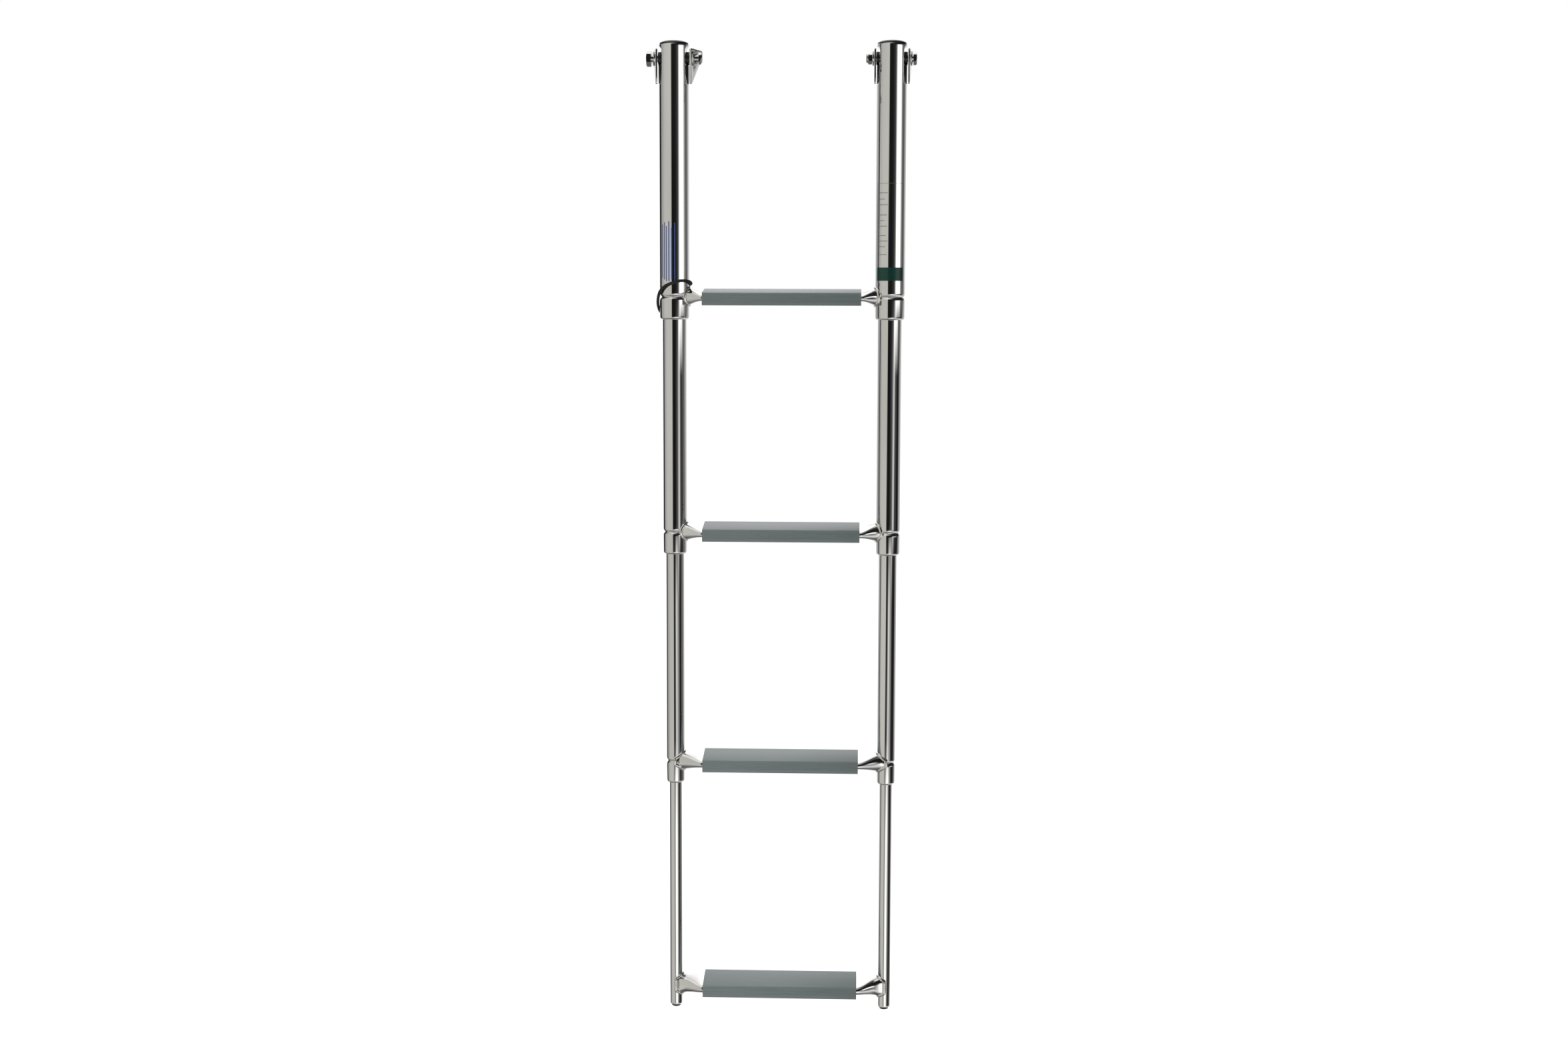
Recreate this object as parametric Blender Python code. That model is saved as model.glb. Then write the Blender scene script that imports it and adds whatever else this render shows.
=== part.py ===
"""Four-step telescoping boarding ladder for a boat, hung from two hinge bolts.

Frame: metres, +Z up, +X to the right of someone facing the boat, +Y towards the boat.
The origin is on the hinge axis, midway between the two stiles. The ladder hangs fully
extended along -Z. Each stage's heights are measured from its own rolled groove.
"""
import math

import bmesh
import bpy
from mathutils import Matrix, Vector

MM = 0.001

# Driving dimensions
STAGES = 4
STILE_SPACING = 278.0 * MM
STEP_PITCH = 305.0 * MM
HINGE_TO_GROOVE = 302.0 * MM
TUBE_RADIUS = (19.05 * MM, 15.4 * MM, 11.75 * MM, 8.1 * MM)
WALL = 1.2 * MM
GAP = 0.3 * MM
SEGMENTS = 20

# Rolled lower end of each stile
RIM_DROP = 29.0 * MM
ROLL_RADIUS = 3.2 * MM
GROOVE_DEPTH = 2.0 * MM
GROOVE_HALF = 3.2 * MM
BEAD_HALF = 4.0 * MM

# Slide bushes
BUSH_START = 4.5 * MM
STOP_BUSH_LENGTH = 16.0 * MM
BUSH_LIP = 1.6 * MM
BUSH_LIP_WIDTH = 2.2 * MM

# Upper end of the top stiles
TOP_ABOVE_HINGE = 18.0 * MM
FLAT_HALF_WIDTH = 15.3 * MM
FLAT_ABOVE = 14.5 * MM
FLAT_BELOW = 31.0 * MM
FLAT_FULL = 9.2 * MM
BOLT_HOLE_RADIUS = 5.3 * MM
DOME_HEIGHT = 4.8 * MM
PLUG_DEPTH = 3.2 * MM
FOOT_PLUG_DROP = 1.5 * MM

# Hinge ears, bolts and washers
EAR_THICKNESS = 2.3 * MM
EAR_TOP = 12.2 * MM
EAR_BOTTOM = -36.2 * MM
EAR_FRONT = -9.7 * MM
EAR_BACK = 33.0 * MM
EAR_CLEAR = 20.2 * MM
EAR_CORNERS = (2.5 * MM, 2.2 * MM, 4.5 * MM)
EAR_SPLAY = {"left_outer": 10.0, "left_inner": 20.0, "right_inner": 0.0, "right_outer": 6.0}
EAR_HOLE_RADIUS = 6.8 * MM
SPACER_RADIUS = 8.5 * MM
SPACER_END = 19.9 * MM
WASHER_RADIUS = 9.7 * MM
WASHER_THICKNESS = 2.1 * MM
SHANK_RADIUS = 4.76 * MM
HEAD_RADIUS = {"left": 10.2 * MM, "right": 8.4 * MM}
HEAD_HEIGHT = {"left": 6.2 * MM, "right": 4.4 * MM}
NUT_RADIUS = 7.6 * MM
NUT_HEIGHT = {"left": 4.4 * MM, "right": 7.4 * MM}
BOLT_OVERHANG = 0.4 * MM

# Step tubes: a round tube pressed flat where the tread sits
STEP_RISE = 0.5 * MM
TREAD_TILT = math.radians(6.0)
FLAT_DEPTH = 45.0 * MM
FLAT_HEIGHT = (7.5 * MM, 8.0 * MM, 9.0 * MM, 10.5 * MM)
STEP_WALL = 1.2 * MM
STEP_SEGMENTS = 20
ROOT_HEIGHT = (25.4 * MM, 25.4 * MM, 26.5 * MM, 29.0 * MM)
ROOT_DEPTH = (25.4 * MM, 25.4 * MM, 24.6 * MM, 17.6 * MM)
ROOT_REACH = (14.5 * MM, 10.0 * MM, 5.0 * MM, 4.0 * MM)

# Treads
TREAD_LENGTH = 204.0 * MM
RIB_COUNT = 6
RIB_DEPTH = 0.45 * MM

# Elastic loop on the left stile
LOOP_RADIUS = 2.1 * MM
LOOP_POINTS = 30


def groove_height(stage):
    """Height of a stage's rolled groove, and so of its step, in the whole ladder."""
    return -HINGE_TO_GROOVE - STEP_PITCH * stage


def opening_radius(stage):
    """Inner radius left by the rolled rim and by the groove's bead."""
    return TUBE_RADIUS[stage] - ROLL_RADIUS


def clear_scene():
    for thing in list(bpy.data.objects):
        bpy.data.objects.remove(thing, do_unlink=True)


def make_material(name, colour, metallic, roughness):
    material = bpy.data.materials.new(name)
    material.use_nodes = True
    shader = material.node_tree.nodes["Principled BSDF"]
    shader.inputs["Base Color"].default_value = (*colour, 1.0)
    shader.inputs["Metallic"].default_value = metallic
    shader.inputs["Roughness"].default_value = roughness
    return material


def make_object(name, bm, material, location=(0.0, 0.0, 0.0)):
    bmesh.ops.recalc_face_normals(bm, faces=bm.faces[:])
    mesh = bpy.data.meshes.new(name)
    bm.to_mesh(mesh)
    bm.free()
    mesh.materials.append(material)
    mesh.shade_smooth()
    mesh.set_sharp_from_angle(angle=math.radians(30.0))
    thing = bpy.data.objects.new(name, mesh)
    thing.location = location
    bpy.context.collection.objects.link(thing)
    return thing


def cut(thing, cutter):
    """Subtract a cutter, which stays in the file as a wire guide."""
    cutter.hide_render = True
    cutter.display_type = "WIRE"
    modifier = thing.modifiers.new("cut_" + cutter.name, "BOOLEAN")
    modifier.operation = "DIFFERENCE"
    modifier.solver = "EXACT"
    modifier.object = cutter


def bridge(bm, ring, following):
    count = len(ring)
    for i in range(count):
        j = (i + 1) % count
        bm.faces.new((ring[i], ring[j], following[j], following[i]))


def turned(profile, segments=SEGMENTS, closed=True):
    """Turn (radius, height) points about Z: a hollow ring, or a solid with flat ends."""
    bm = bmesh.new()
    rings = []
    for radius, height in profile:
        angles = [2.0 * math.pi * (i + 0.5) / segments for i in range(segments)]
        rings.append([bm.verts.new((radius * math.cos(a), radius * math.sin(a), height))
                      for a in angles])
    for ring, following in zip(rings, rings[1:]):
        bridge(bm, ring, following)
    if closed:
        bridge(bm, rings[-1], rings[0])
    else:
        bm.faces.new(rings[0])
        bm.faces.new(rings[-1])
    return bm


def roll_arc(outer, offset, drop, steps=3):
    """Points round the rolled rim, from the tube's side to its opening."""
    centre = Vector((outer - ROLL_RADIUS, -drop + ROLL_RADIUS))
    radius = ROLL_RADIUS - offset
    angles = [0.5 * math.pi * i / steps for i in range(steps + 1)]
    return [(centre.x + radius * math.cos(a), centre.y - radius * math.sin(a)) for a in angles]


def stile_profile(stage, top, extra_heights=()):
    """Closed outline of a stile's wall, down its outer side and up its inner side."""
    outer = TUBE_RADIUS[stage]
    inner = outer - WALL
    heights = sorted(extra_heights, reverse=True)
    down = [(outer, top)] + [(outer, height) for height in heights]
    up = [(inner, height) for height in reversed(heights)] + [(inner, top)]
    grooved = stage < STAGES - 1
    if grooved:
        down += [(outer, GROOVE_HALF), (outer - GROOVE_DEPTH, 0.0), (outer, -GROOVE_HALF)]
        up = [(inner, -BEAD_HALF), (inner - GROOVE_DEPTH, 0.0), (inner, BEAD_HALF)] + up
    down += roll_arc(outer, 0.0, RIM_DROP)
    return down + list(reversed(roll_arc(outer, WALL, RIM_DROP))) + up


def press_flats(bm, centre):
    """Press the two sides of a top stile in to flats for the hinge bolt."""
    for vert in bm.verts:
        rise = vert.co.z - centre
        reach = FLAT_ABOVE if rise > 0.0 else FLAT_BELOW
        beyond = max(0.0, abs(rise) - FLAT_FULL) / (reach - FLAT_FULL)
        share = 1.0 - beyond ** 2
        if share <= 0.0:
            continue
        radius = math.hypot(vert.co.x, vert.co.y)
        inset = TUBE_RADIUS[0] - radius
        depth = (TUBE_RADIUS[0] - FLAT_HALF_WIDTH) * math.sqrt(share)
        limit = TUBE_RADIUS[0] - depth - inset
        vert.co.x = max(-limit, min(limit, vert.co.x))


def make_stile(stage, side, label, material):
    base = groove_height(stage)
    location = (side * STILE_SPACING / 2.0, 0.0, base)
    if stage > 0:
        top = STEP_PITCH + BUSH_START + STOP_BUSH_LENGTH
        bm = turned(stile_profile(stage, top))
        return make_object(f"stile_{stage + 1}_{label}", bm, material, location)
    pressed = [FLAT_ABOVE, 12.3 * MM, FLAT_FULL, -FLAT_FULL, -19.0 * MM, -27.0 * MM, -FLAT_BELOW]
    heights = [HINGE_TO_GROOVE + rise for rise in pressed]
    bm = turned(stile_profile(stage, HINGE_TO_GROOVE + TOP_ABOVE_HINGE, heights))
    press_flats(bm, HINGE_TO_GROOVE)
    stile = make_object(f"stile_1_{label}", bm, material, location)
    hole = cross_cylinder(f"bolt_hole_{label}", BOLT_HOLE_RADIUS, -0.03, 0.03, material)
    hole.location = (location[0], 0.0, 0.0)
    cut(stile, hole)
    return stile


def cross_cylinder(name, radius, start, end, material, segments=16):
    """A cylinder along X."""
    bm = turned([(radius, start), (radius, end)], segments, closed=False)
    bm.transform(Matrix.Rotation(math.pi / 2.0, 4, "Y"))
    return make_object(name, bm, material)


def make_end_plug(side, label, material):
    """Domed plug pushed into the open top of a first-stage stile."""
    outer = TUBE_RADIUS[0]
    spigot = outer - WALL - GAP
    seat = TOP_ABOVE_HINGE + GAP
    dome = [(outer * math.cos(a), seat + DOME_HEIGHT * math.sin(a))
            for a in [math.radians(d) for d in (0.0, 22.0, 46.0, 70.0)]]
    profile = [(spigot, TOP_ABOVE_HINGE - PLUG_DEPTH), (spigot, seat)] + dome
    bm = turned(profile, closed=False)
    return make_object(f"end_plug_{label}", bm, material, (side * STILE_SPACING / 2.0, 0.0, 0.0))


def make_foot_plug(side, label, material):
    """Rounded plug in the rolled bottom end of a last-stage stile."""
    stage = STAGES - 1
    neck = opening_radius(stage) - GAP
    lowest = -RIM_DROP - FOOT_PLUG_DROP
    flange = neck + 1.6 * MM
    profile = [(neck, -RIM_DROP + 6.0 * MM), (neck, -RIM_DROP - GAP), (flange, -RIM_DROP - GAP),
               (flange - 0.5 * MM, lowest + 0.4 * MM), (neck - 1.5 * MM, lowest)]
    bm = turned(profile, closed=False)
    location = (side * STILE_SPACING / 2.0, 0.0, groove_height(stage))
    return make_object(f"foot_plug_{label}", bm, material, location)


def make_guide_bush(stage, side, label, material):
    """Bush held in a stile's collar, between the groove's bead and the rolled rim."""
    outer = TUBE_RADIUS[stage] - WALL - GAP
    inner = TUBE_RADIUS[stage + 1] + GAP
    top = -BUSH_START
    bottom = -RIM_DROP + ROLL_RADIUS + GAP
    bm = turned([(outer, top), (outer, bottom), (inner, bottom), (inner, top)])
    location = (side * STILE_SPACING / 2.0, 0.0, groove_height(stage))
    return make_object(f"guide_bush_{stage + 1}_{label}", bm, material, location)


def make_stop_bush(stage, side, label, material):
    """Lipped bush on the top of an inner stile, which stops on the outer stile's bead."""
    outer = TUBE_RADIUS[stage - 1] - WALL - GAP
    inner = TUBE_RADIUS[stage] + GAP
    lip = TUBE_RADIUS[stage] - BUSH_LIP_WIDTH
    under_lip = BUSH_START + STOP_BUSH_LENGTH + GAP
    top = under_lip + BUSH_LIP
    profile = [(outer, top), (outer, BUSH_START), (inner, BUSH_START), (inner, under_lip),
               (lip, under_lip), (lip, top)]
    bm = turned(profile)
    location = (side * STILE_SPACING / 2.0, 0.0, groove_height(stage - 1))
    return make_object(f"stop_bush_{stage + 1}_{label}", bm, material, location)


def oval(height, depth, tilt, inset=0.0):
    """A round-ended oval in the YZ plane, tilted about X, as (y, z) points."""
    half_height = height / 2.0 - inset
    half_depth = depth / 2.0 - inset
    corner = min(half_height, half_depth)
    points = []
    for i in range(STEP_SEGMENTS):
        angle = 2.0 * math.pi * (i + 0.5) / STEP_SEGMENTS
        y = math.cos(angle) * corner + math.copysign(half_depth - corner, math.cos(angle))
        z = math.sin(angle) * corner + math.copysign(half_height - corner, math.sin(angle))
        points.append((y * math.cos(tilt) - z * math.sin(tilt), y * math.sin(tilt) + z * math.cos(tilt)))
    return points


def step_stations(stage):
    """Sections along a step tube, as (x, height, depth, tilt), left to right."""
    start = 1.0 * MM
    root = ROOT_REACH[stage]
    flat = (STILE_SPACING - TREAD_LENGTH) / 2.0 - 1.5 * MM
    stations = [(start, ROOT_HEIGHT[stage], ROOT_DEPTH[stage], 0.0)]
    for share in (0.0, 0.25, 0.5, 0.75, 1.0):
        blend = share * share * (3.0 - 2.0 * share) * 0.5 + share * 0.5
        height = ROOT_HEIGHT[stage] + (FLAT_HEIGHT[stage] - ROOT_HEIGHT[stage]) * blend
        depth = ROOT_DEPTH[stage] + (FLAT_DEPTH - ROOT_DEPTH[stage]) * blend
        stations.append((root + (flat - root) * share, height, depth, TREAD_TILT * blend))
    half = STILE_SPACING / 2.0
    left = [(x - half, h, d, t) for x, h, d, t in stations]
    right = [(half - x, h, d, t) for x, h, d, t in reversed(stations)]
    return left + right


def make_step_tube(stage, material):
    """Tube pressed flat along its middle, its ends cut to fit round the stiles."""
    bm = bmesh.new()
    walls = []
    for inset in (0.0, STEP_WALL):
        rings = []
        for x, height, depth, tilt in step_stations(stage):
            section = oval(height, depth, tilt, inset)
            rings.append([bm.verts.new((x, y, z)) for y, z in section])
        for ring, following in zip(rings, rings[1:]):
            bridge(bm, ring, following)
        walls.append(rings)
    bridge(bm, walls[0][0], walls[1][0])
    bridge(bm, walls[0][-1], walls[1][-1])
    base = groove_height(stage)
    tube = make_object(f"step_tube_{stage + 1}", bm, material, (0.0, 0.0, base + STEP_RISE))
    for side, label in ((-1.0, "left"), (1.0, "right")):
        reach = 25.0 * MM
        radius = TUBE_RADIUS[stage] + GAP
        saddle = turned([(radius, -reach), (radius, reach)], closed=False)
        place = (side * STILE_SPACING / 2.0, 0.0, base)
        cut(tube, make_object(f"saddle_{stage + 1}_{label}", saddle, material, place))
    return tube


def tread_outline():
    """Section of the tread extrusion, as (y, z) from the step tube's centre."""
    front = [(-24.6, 5.0), (-25.4, 4.2), (-26.2, -5.2), (-25.8, -8.2), (-24.4, -10.6), (-22.5, -11.3)]
    back = [(21.0, -6.5), (24.6, -5.6), (26.2, -2.6), (26.2, 8.4), (25.4, 10.1), (24.2, 10.3)]
    points = [Vector(p) * MM for p in front]
    ribbed = points[:1]
    along = points[2] - points[1]
    inward = Vector((-along.y, along.x)).normalized() * RIB_DEPTH
    for rib in range(RIB_COUNT):
        crest = points[1] + along * (rib / RIB_COUNT)
        groove = crest + along * (0.6 / RIB_COUNT)
        ribbed += [crest, groove, groove + inward, groove + inward + along * (0.25 / RIB_COUNT)]
    return ribbed + points[2:] + [Vector(p) * MM for p in back]


def make_tread(stage, material):
    """Ribbed tread extrusion with a slot that fits the flattened step tube."""
    bm = bmesh.new()
    outline = tread_outline()
    ends = []
    for x in (-TREAD_LENGTH / 2.0, TREAD_LENGTH / 2.0):
        ends.append([bm.verts.new((x, p.x, p.y)) for p in outline])
        bm.faces.new(ends[-1])
    bridge(bm, ends[0], ends[1])
    place = (0.0, 0.0, groove_height(stage) + STEP_RISE)
    tread = make_object(f"tread_{stage + 1}", bm, material, place)
    bm = bmesh.new()
    reach = TREAD_LENGTH / 2.0 + 10.0 * MM
    slot_ends = []
    for x in (-reach, reach):
        section = oval(FLAT_HEIGHT[stage], FLAT_DEPTH, TREAD_TILT, -GAP)
        slot_ends.append([bm.verts.new((x, y, z)) for y, z in section])
        bm.faces.new(slot_ends[-1])
    bridge(bm, slot_ends[0], slot_ends[1])
    cut(tread, make_object(f"tread_slot_{stage + 1}", bm, material, place))
    return tread


def rounded_corner(corner, before, after, radius, steps=4):
    """Arc that rounds one corner of an outline."""
    to_before = (before - corner).normalized()
    to_after = (after - corner).normalized()
    half = to_before.angle(to_after) / 2.0
    centre = corner + (to_before + to_after).normalized() * (radius / math.sin(half))
    start = corner + to_before * (radius / math.tan(half)) - centre
    end = corner + to_after * (radius / math.tan(half)) - centre
    sweep = start.angle_signed(end)
    return [centre + Matrix.Rotation(-sweep * i / steps, 2) @ start for i in range(steps + 1)]


def ear_outline():
    """Triangular hinge ear with rounded corners, as (y, z) points."""
    corners = [Vector((EAR_FRONT, EAR_TOP)), Vector((EAR_FRONT, EAR_BOTTOM)), Vector((EAR_BACK, EAR_TOP))]
    points = []
    for i, corner in enumerate(corners):
        points += rounded_corner(corner, corners[i - 1], corners[(i + 1) % 3], EAR_CORNERS[i])
    return points


def ear_offset(yaw):
    """Distance from the stile's axis to an ear's inner face, measured on the hinge axis."""
    return EAR_CLEAR - EAR_FRONT * math.tan(yaw)


def place_yawed(bm, out, yaw):
    """Turn a piece about the vertical so that it opens towards the boat."""
    bm.transform(Matrix.Rotation(-out * yaw, 4, "Z"))


def make_ear(name, stile_x, out, yaw, material):
    """Flat hinge ear. out is the side of the stile it is on; yaw splays its back edge out."""
    bm = bmesh.new()
    faces = []
    for x in (0.0, EAR_THICKNESS):
        faces.append([bm.verts.new((out * x, p.x, p.y)) for p in ear_outline()])
        bm.faces.new(faces[-1])
    bridge(bm, faces[0], faces[1])
    place_yawed(bm, out, yaw)
    ear = make_object(name, bm, material, (stile_x + out * ear_offset(yaw), 0.0, 0.0))
    hole = cross_cylinder(name + "_hole", EAR_HOLE_RADIUS, -0.012, 0.012, material)
    hole.location = ear.location
    cut(ear, hole)
    return ear


def ear_outer(yaw):
    """Distance from the stile's axis to an ear's outer face, measured on the hinge axis."""
    return ear_offset(yaw) + EAR_THICKNESS / math.cos(yaw)


def hex_start(yaw, radius):
    """Distance from the stile's axis at which a bolt head or nut clears its splayed washer."""
    washer_outer = ear_outer(yaw) + (GAP + WASHER_THICKNESS) / math.cos(yaw)
    return washer_outer + radius * math.tan(yaw) + GAP


def ring_profile(outer, hole, length):
    """Section of a flat ring, as (radius, height) points."""
    return [(outer, 0.0), (outer, length), (hole, length), (hole, 0.0)]


def make_washer(name, stile_x, out, yaw, material):
    bm = turned(ring_profile(WASHER_RADIUS, EAR_HOLE_RADIUS - GAP, WASHER_THICKNESS))
    bm.transform(Matrix.Rotation(out * math.pi / 2.0, 4, "Y"))
    place_yawed(bm, out, yaw)
    shift = ear_outer(yaw) + GAP / math.cos(yaw)
    return make_object(name, bm, material, (stile_x + out * shift, 0.0, 0.0))


def make_spacer(name, stile_x, out, material):
    """Plain plastic spacer between a stile's flat and the ear."""
    length = SPACER_END - FLAT_HALF_WIDTH - GAP
    bm = turned(ring_profile(SPACER_RADIUS, SHANK_RADIUS + GAP, length))
    bm.transform(Matrix.Rotation(out * math.pi / 2.0, 4, "Y"))
    return make_object(name, bm, material, (stile_x + out * (FLAT_HALF_WIDTH + GAP), 0.0, 0.0))


def hexagon(radius, height):
    """Six points of a hexagon at a height along Z."""
    return [(radius * math.cos(math.radians(60 * i)), radius * math.sin(math.radians(60 * i)), height)
            for i in range(6)]


def make_bolt(label, stile_x, out, head_yaw, nut_yaw, material):
    """Hex bolt through both ears and the stile; out is the side its head is on."""
    radius = HEAD_RADIUS[label]
    head_start = hex_start(head_yaw, radius)
    head_end = head_start + HEAD_HEIGHT[label]
    tip = -(hex_start(nut_yaw, NUT_RADIUS) + NUT_HEIGHT[label] + BOLT_OVERHANG)
    bm = bmesh.new()
    shank = [[bm.verts.new((SHANK_RADIUS * math.cos(a), SHANK_RADIUS * math.sin(a), z))
              for a in [2.0 * math.pi * i / 12 for i in range(12)]] for z in (tip, head_start)]
    bm.faces.new(shank[0])
    bridge(bm, shank[0], shank[1])
    levels = [(radius, head_start), (radius, head_end - 0.8 * MM), (0.9 * radius, head_end)]
    head = [[bm.verts.new(p) for p in hexagon(r, z)] for r, z in levels]
    for ring, following in zip(head, head[1:]):
        bridge(bm, ring, following)
    bm.faces.new(head[-1])
    join_hex_to_round(bm, head[0], shank[1])
    bm.transform(Matrix.Rotation(out * math.pi / 2.0, 4, "Y"))
    return make_object(f"pivot_bolt_{label}", bm, material, (stile_x, 0.0, 0.0))


def join_hex_to_round(bm, hex_ring, round_ring):
    """Flat face between a hexagon and the twelve-sided circle inside it."""
    for i in range(6):
        j = (i + 1) % 6
        near = (round_ring[(2 * j) % 12], round_ring[2 * i + 1], round_ring[2 * i])
        bm.faces.new((hex_ring[i], hex_ring[j], *near))


def make_nut(label, stile_x, out, yaw, material):
    """Lock nut with a round collar, on the far side from the bolt head."""
    start = hex_start(yaw, NUT_RADIUS)
    height = NUT_HEIGHT[label]
    bore = SHANK_RADIUS + GAP
    collar = 0.84 * NUT_RADIUS
    bm = bmesh.new()
    hexes = [[bm.verts.new(p) for p in hexagon(NUT_RADIUS, z)] for z in (start, start + 0.7 * height)]
    rounds = []
    for radius, z in ((collar, start + 0.72 * height), (collar, start + 0.92 * height),
                      (collar - 0.8 * MM, start + height), (bore, start + height), (bore, start)):
        rounds.append([bm.verts.new((radius * math.cos(a), radius * math.sin(a), z))
                       for a in [2.0 * math.pi * i / 12 for i in range(12)]])
    bridge(bm, hexes[0], hexes[1])
    join_hex_to_round(bm, hexes[1], rounds[0])
    for ring, following in zip(rounds, rounds[1:]):
        bridge(bm, ring, following)
    join_hex_to_round(bm, hexes[0], rounds[-1])
    bm.transform(Matrix.Rotation(out * math.pi / 2.0, 4, "Y"))
    return make_object(f"lock_nut_{label}", bm, material, (stile_x, 0.0, 0.0))


def loop_route():
    """Closed route of the elastic loop round the left stile, slung over the step tube."""
    reach = TUBE_RADIUS[0] + LOOP_RADIUS + 0.6 * MM
    heights = [17.5, 20.0, 20.5, 18.0, 13.5, 5.0, -9.0, -19.5, -16.0, -1.0, 10.5, 15.5]
    count = len(heights)
    route = []
    for i in range(LOOP_POINTS):
        place = i * count / LOOP_POINTS
        k = int(place)
        t = place - k
        a, b, c, d = (heights[(k + n) % count] for n in (-1, 0, 1, 2))
        bend = (2 * a - 5 * b + 4 * c - d) * t ** 2 + (3 * b - a - 3 * c + d) * t ** 3
        height = b + 0.5 * ((c - a) * t + bend)
        angle = -2.0 * math.pi * i / LOOP_POINTS
        route.append(Vector((reach * math.cos(angle), reach * math.sin(angle), height * MM)))
    return route


def make_loop(material):
    """Closed elastic cord that ties the folded ladder; a tube bent round into a ring."""
    route = loop_route()
    bm = bmesh.new()
    rings = []
    sides = 8
    for i, point in enumerate(route):
        along = (route[(i + 1) % LOOP_POINTS] - route[i - 1]).normalized()
        outward = Vector((point.x, point.y, 0.0)).normalized()
        up = along.cross(outward).normalized()
        outward = up.cross(along).normalized()
        ring = []
        for k in range(sides):
            angle = 2.0 * math.pi * k / sides
            spoke = outward * math.cos(angle) + up * math.sin(angle)
            ring.append(bm.verts.new(point + spoke * LOOP_RADIUS))
        rings.append(ring)
    for i, ring in enumerate(rings):
        bridge(bm, ring, rings[(i + 1) % LOOP_POINTS])
    location = (-STILE_SPACING / 2.0, 0.0, groove_height(0))
    return make_object("elastic_loop", bm, material, location)


def make_hinge(materials):
    """Ears, washers, spacers, bolts and nuts at the top of both stiles."""
    for side, label in ((-1.0, "left"), (1.0, "right")):
        stile_x = side * STILE_SPACING / 2.0
        yaws = {}
        for face, out in (("outer", side), ("inner", -side)):
            yaw = math.radians(EAR_SPLAY[f"{label}_{face}"])
            yaws[face] = yaw
            make_ear(f"hinge_ear_{label}_{face}", stile_x, out, yaw, materials["steel"])
            make_washer(f"washer_{label}_{face}", stile_x, out, yaw, materials["fastener"])
            make_spacer(f"spacer_{label}_{face}", stile_x, out, materials["plug"])
        make_bolt(label, stile_x, side, yaws["outer"], yaws["inner"], materials["fastener"])
        make_nut(label, stile_x, -side, yaws["inner"], materials["fastener"])


def make_stage(stage, materials):
    for side, label in ((-1.0, "left"), (1.0, "right")):
        make_stile(stage, side, label, materials["steel"])
        if stage < STAGES - 1:
            make_guide_bush(stage, side, label, materials["bush"])
        else:
            make_foot_plug(side, label, materials["plug"])
        if stage > 0:
            make_stop_bush(stage, side, label, materials["bush"])
        else:
            make_end_plug(side, label, materials["plug"])
    make_step_tube(stage, materials["steel"])
    make_tread(stage, materials["tread"])


def main():
    clear_scene()
    materials = {
        "steel": make_material("polished_steel", (0.72, 0.72, 0.70), 1.0, 0.12),
        "fastener": make_material("fastener_steel", (0.62, 0.62, 0.60), 1.0, 0.25),
        "tread": make_material("tread_plastic", (0.25, 0.27, 0.27), 0.0, 0.55),
        "plug": make_material("black_plastic", (0.012, 0.012, 0.013), 0.0, 0.35),
        "bush": make_material("bush_plastic", (0.55, 0.55, 0.53), 0.0, 0.45),
        "loop": make_material("black_elastic", (0.010, 0.010, 0.011), 0.0, 0.6),
    }
    make_hinge(materials)
    for stage in range(STAGES):
        make_stage(stage, materials)
    make_loop(materials["loop"])


main()
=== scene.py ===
"""Looks of the telescoping boarding ladder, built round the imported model.

Metres, in the model's own frame: +Z up, +X right, +Y towards the boat, origin on the hinge axis.
Heights along a stage are measured from its rolled groove.
"""

import math

import bmesh
import bpy
from mathutils import Euler, Matrix, Vector


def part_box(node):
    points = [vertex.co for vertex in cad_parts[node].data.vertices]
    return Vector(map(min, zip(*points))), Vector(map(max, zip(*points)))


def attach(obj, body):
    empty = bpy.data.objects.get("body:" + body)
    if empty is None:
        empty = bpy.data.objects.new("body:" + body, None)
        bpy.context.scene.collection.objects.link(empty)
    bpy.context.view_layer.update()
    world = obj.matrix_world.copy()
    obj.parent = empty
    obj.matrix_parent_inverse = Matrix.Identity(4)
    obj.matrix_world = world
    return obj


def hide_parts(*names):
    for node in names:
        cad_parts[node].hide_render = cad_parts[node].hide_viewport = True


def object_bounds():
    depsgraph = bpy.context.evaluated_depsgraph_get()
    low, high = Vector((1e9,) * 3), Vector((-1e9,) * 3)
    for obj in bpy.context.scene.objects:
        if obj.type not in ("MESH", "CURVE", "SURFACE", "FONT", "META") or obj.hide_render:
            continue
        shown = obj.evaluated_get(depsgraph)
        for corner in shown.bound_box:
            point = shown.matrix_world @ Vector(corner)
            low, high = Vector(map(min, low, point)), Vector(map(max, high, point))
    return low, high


MM = 0.001
STAGES = 4
SIDES = ((-1.0, "left"), (1.0, "right"))
CAD_TUBE_SIDES = 20

# Stile details
TUBE_SEGMENTS = 96
WALL = 1.2 * MM
RIM_DROP = 29.0 * MM
ROLL_RADIUS = 3.2 * MM
GROOVE_DEPTH = 2.1 * MM
GROOVE_HALF = 4.2 * MM
FLAT_HALF_WIDTH = 15.3 * MM
FLAT_ABOVE = 14.5 * MM
FLAT_BELOW = 33.0 * MM
FLAT_FULL = 8.6 * MM
FLAT_SOFTNESS = 0.35 * MM
FLAT_RINGS = 36
TOP_EDGE_RADIUS = 1.6 * MM
COLLAR_TAPER = 0.25 * MM
SUPPORT_GAPS = (0.3 * MM, 1.2 * MM)
RING_SPACING = 30.0 * MM

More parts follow.
